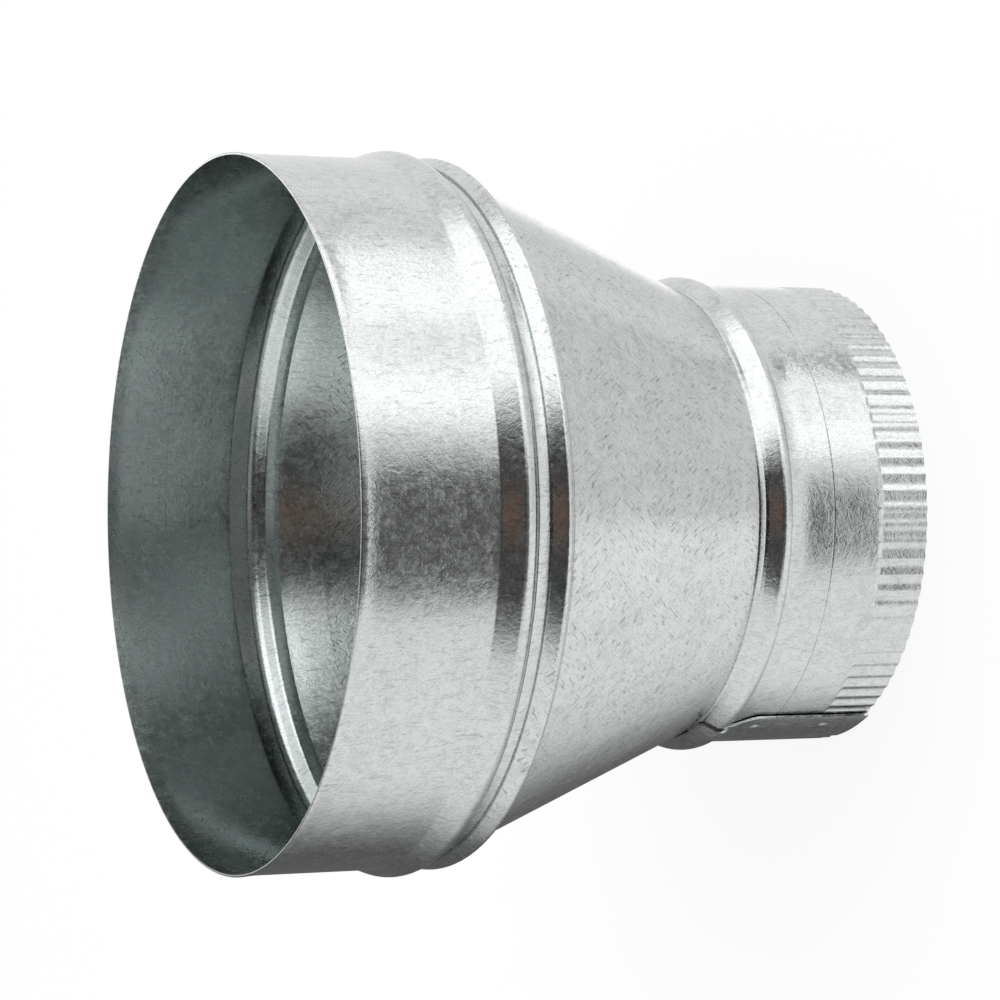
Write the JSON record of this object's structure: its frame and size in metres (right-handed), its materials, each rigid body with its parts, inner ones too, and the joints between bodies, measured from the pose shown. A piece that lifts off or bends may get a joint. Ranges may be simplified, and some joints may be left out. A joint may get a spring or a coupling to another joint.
{
  "type": "duct reducer",
  "caption": "Round sheet-metal duct reducer with a plain socket, a beaded collar joint, a conical body and a crimped spigot, for joining a wide air duct to a narrower one.",
  "frame": {"origin": "on the duct axis in the plane of the crimped edge it stands on", "axes": "+Z along the duct axis from the crimped end to the plain socket, seam of the small collar toward -X and slightly toward -Y"},
  "size_m": [0.157, 0.157, 0.1432],
  "materials": {
    "large_collar": "galvanised sheet with a fine spangle",
    "tapered_body": "galvanised sheet with a fine spangle",
    "small_collar": "galvanised sheet with a fine spangle"
  },
  "bodies": {
    "root": {"large_collar": "large_collar", "tapered_body": "tapered_body", "small_collar": "small_collar"}
  },
  "joints": []
}
